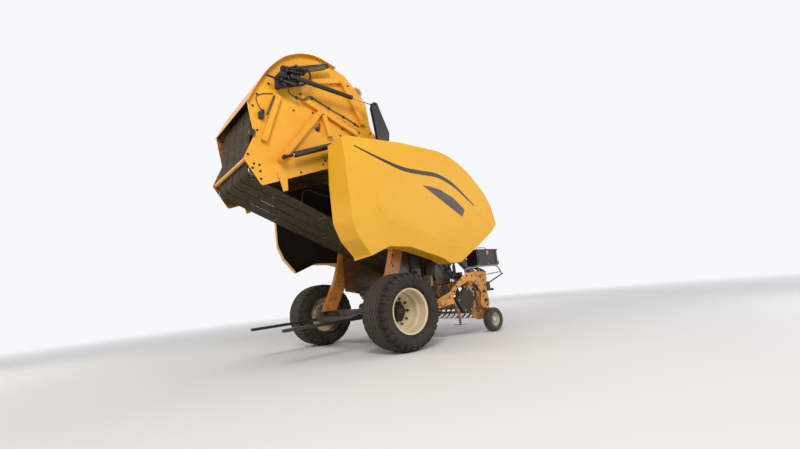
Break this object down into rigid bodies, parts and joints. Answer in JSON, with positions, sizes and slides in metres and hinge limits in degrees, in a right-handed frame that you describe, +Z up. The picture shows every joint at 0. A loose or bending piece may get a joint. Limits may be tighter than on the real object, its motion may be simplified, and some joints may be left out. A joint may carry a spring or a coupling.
{
  "type": "round baler",
  "caption": "Trailed round baler with a belt bale chamber, raised tailgate, pickup reel, side shields, drawbar and jack.",
  "frame": {"origin": "on the ground at the middle of the overall length and width, with the tailgate raised", "axes": "+X forward towards the hitch, +Y to the machine's left, +Z up"},
  "size_m": [5.1921, 2.73, 4.1809],
  "materials": {
    "yellow_paint": "painted",
    "yellow_moulding": "satin",
    "black_paint": "painted",
    "bare_steel": "worn",
    "belt_rubber": "matte",
    "tyre_rubber": "matte",
    "rim_paint": "painted",
    "grey_mesh": "matte",
    "black_plastic": "satin"
  },
  "bodies": {
    "chassis": {"wall_right": "yellow_paint", "wall_left": "yellow_paint", "axle": "black_paint", "drawbar": "black_paint", "jack_sleeve": "black_paint", "gearbox": "black_paint", "pto_shaft": "black_plastic", "front_hood": "yellow_paint", "feeder_floor": "black_paint", "front_rollers": "bare_steel", "front_belts": "belt_rubber", "belt_span": "belt_rubber", "density_arms": "black_paint", "side_drive": "black_paint", "valve_box": "black_paint"},
    "tailgate": {"gate_wall_right": "yellow_paint", "gate_wall_left": "yellow_paint", "gate_tubes": "yellow_paint", "gate_cover": "yellow_paint", "gate_rollers": "bare_steel", "gate_belts": "belt_rubber", "gate_valves": "black_paint"},
    "pickup": {"pickup_frame": "yellow_paint", "stripper_bands": "yellow_paint", "chain_guard": "black_paint"},
    "reel": {"pickup_reel": "bare_steel"},
    "wind_guard": {"wind_guard": "black_paint"},
    "feed_rotor": {"feed_rotor": "black_paint"},
    "bale_ramp": {"bale_ramp": "black_paint"},
    "jack_leg": {"jack_leg": "bare_steel"},
    "wheel_right": {"tyre_right": "tyre_rubber", "rim_right": "rim_paint"},
    "gauge_wheel_right": {"gauge_wheel_right": "tyre_rubber"},
    "shield_right": {"shield_right": "yellow_moulding", "vent_right": "grey_mesh"},
    "lift_barrel_right": {"lift_barrel_right": "black_paint"},
    "lift_rod_right": {"lift_rod_right": "bare_steel"},
    "density_barrel_right": {"density_barrel_right": "black_paint"},
    "density_rod_right": {"density_rod_right": "bare_steel"},
    "wheel_left": {"tyre_left": "tyre_rubber", "rim_left": "rim_paint"},
    "gauge_wheel_left": {"gauge_wheel_left": "tyre_rubber"},
    "shield_left": {"shield_left": "yellow_moulding", "vent_left": "grey_mesh"},
    "lift_barrel_left": {"lift_barrel_left": "black_paint"},
    "lift_rod_left": {"lift_rod_left": "bare_steel"},
    "density_barrel_left": {"density_barrel_left": "black_paint"},
    "density_rod_left": {"density_rod_left": "bare_steel"}
  },
  "joints": [
    {"name": "tailgate_lift", "type": "hinge", "parent": "chassis", "child": "tailgate", "pos_m": [-0.51, 0, 2.85], "axis": [0, 1, 0], "range_deg": [-71, 0], "deforming": ["belt_span"]},
    {"name": "lift_swing_right", "type": "hinge", "parent": "chassis", "child": "lift_barrel_right", "pos_m": [-1.11, -0.81, 2.95], "axis": [0, 1, 0], "range_deg": [-80.81, 0]},
    {"name": "lift_stroke_right", "type": "slide", "parent": "lift_barrel_right", "child": "lift_rod_right", "axis": [-0.9391, 0, -0.3436], "range_m": [0, 0.6665]},
    {"name": "density_swing_right", "type": "hinge", "parent": "tailgate", "child": "density_barrel_right", "pos_m": [-1.99, -0.867, 3.672], "axis": [0, 1, 0], "range_deg": [0, 6.22]},
    {"name": "density_stroke_right", "type": "slide", "parent": "density_barrel_right", "child": "density_rod_right", "axis": [0.9963, 0, -0.0865], "range_m": [0, 0.8352]},
    {"name": "shield_open_right", "type": "hinge", "parent": "chassis", "child": "shield_right", "pos_m": [0.015, -0.842, 2.962], "axis": [-1, 0, 0], "range_deg": [0, 65]},
    {"name": "wheel_spin_right", "type": "hinge", "parent": "chassis", "child": "wheel_right", "pos_m": [-0.76, -1.115, 0.51], "axis": [0, 1, 0], "continuous": true},
    {"name": "gauge_spin_right", "type": "hinge", "parent": "pickup", "child": "gauge_wheel_right", "pos_m": [1.09, -1.13, 0.185], "axis": [0, 1, 0], "continuous": true},
    {"name": "lift_swing_left", "type": "hinge", "parent": "chassis", "child": "lift_barrel_left", "pos_m": [-1.11, 0.81, 2.95], "axis": [0, 1, 0], "range_deg": [-80.81, 0]},
    {"name": "lift_stroke_left", "type": "slide", "parent": "lift_barrel_left", "child": "lift_rod_left", "axis": [-0.9391, 0, -0.3436], "range_m": [0, 0.6665]},
    {"name": "density_swing_left", "type": "hinge", "parent": "tailgate", "child": "density_barrel_left", "pos_m": [-1.99, 0.867, 3.672], "axis": [0, 1, 0], "range_deg": [0, 6.22]},
    {"name": "density_stroke_left", "type": "slide", "parent": "density_barrel_left", "child": "density_rod_left", "axis": [0.9963, 0, -0.0865], "range_m": [0, 0.8352]},
    {"name": "shield_open_left", "type": "hinge", "parent": "chassis", "child": "shield_left", "pos_m": [0.015, 0.842, 2.962], "axis": [1, 0, 0], "range_deg": [0, 65]},
    {"name": "wheel_spin_left", "type": "hinge", "parent": "chassis", "child": "wheel_left", "pos_m": [-0.76, 1.115, 0.51], "axis": [0, 1, 0], "continuous": true},
    {"name": "gauge_spin_left", "type": "hinge", "parent": "pickup", "child": "gauge_wheel_left", "pos_m": [1.09, 1.13, 0.185], "axis": [0, 1, 0], "continuous": true},
    {"name": "pickup_lift", "type": "hinge", "parent": "chassis", "child": "pickup", "pos_m": [0.425, 0, 0.7], "axis": [0, -1, 0], "range_deg": [-3, 12]},
    {"name": "reel_spin", "type": "hinge", "parent": "pickup", "child": "reel", "pos_m": [0.94, 0, 0.43], "axis": [0, 1, 0], "continuous": true},
    {"name": "wind_guard_lift", "type": "hinge", "parent": "pickup", "child": "wind_guard", "pos_m": [0.8, 0, 0.905], "axis": [0, -1, 0], "range_deg": [0, 8]},
    {"name": "rotor_spin", "type": "hinge", "parent": "chassis", "child": "feed_rotor", "pos_m": [0.425, 0, 0.7], "axis": [0, 1, 0], "continuous": true},
    {"name": "ramp_tilt", "type": "hinge", "parent": "chassis", "child": "bale_ramp", "pos_m": [-0.88, 0, 0.5], "axis": [0, 1, 0], "range_deg": [-8, 0], "stiffness_Nm_per_rad": 2500, "springref_deg": 8.59},
    {"name": "jack_stroke", "type": "slide", "parent": "chassis", "child": "jack_leg", "axis": [0, 0, 1], "range_m": [0, 0.3]}
  ],
  "couplings": [
    {"joint": "lift_swing_right", "follows": "tailgate_lift", "ratio": 1.1375},
    {"joint": "lift_stroke_right", "follows": "tailgate_lift", "m_per_rad": -0.53745},
    {"joint": "density_swing_right", "follows": "tailgate_lift", "ratio": -0.08692},
    {"joint": "density_stroke_right", "follows": "tailgate_lift", "m_per_rad": -0.67358},
    {"joint": "lift_swing_left", "follows": "tailgate_lift", "ratio": 1.1375},
    {"joint": "lift_stroke_left", "follows": "tailgate_lift", "m_per_rad": -0.53745},
    {"joint": "density_swing_left", "follows": "tailgate_lift", "ratio": -0.08692},
    {"joint": "density_stroke_left", "follows": "tailgate_lift", "m_per_rad": -0.67358}
  ]
}
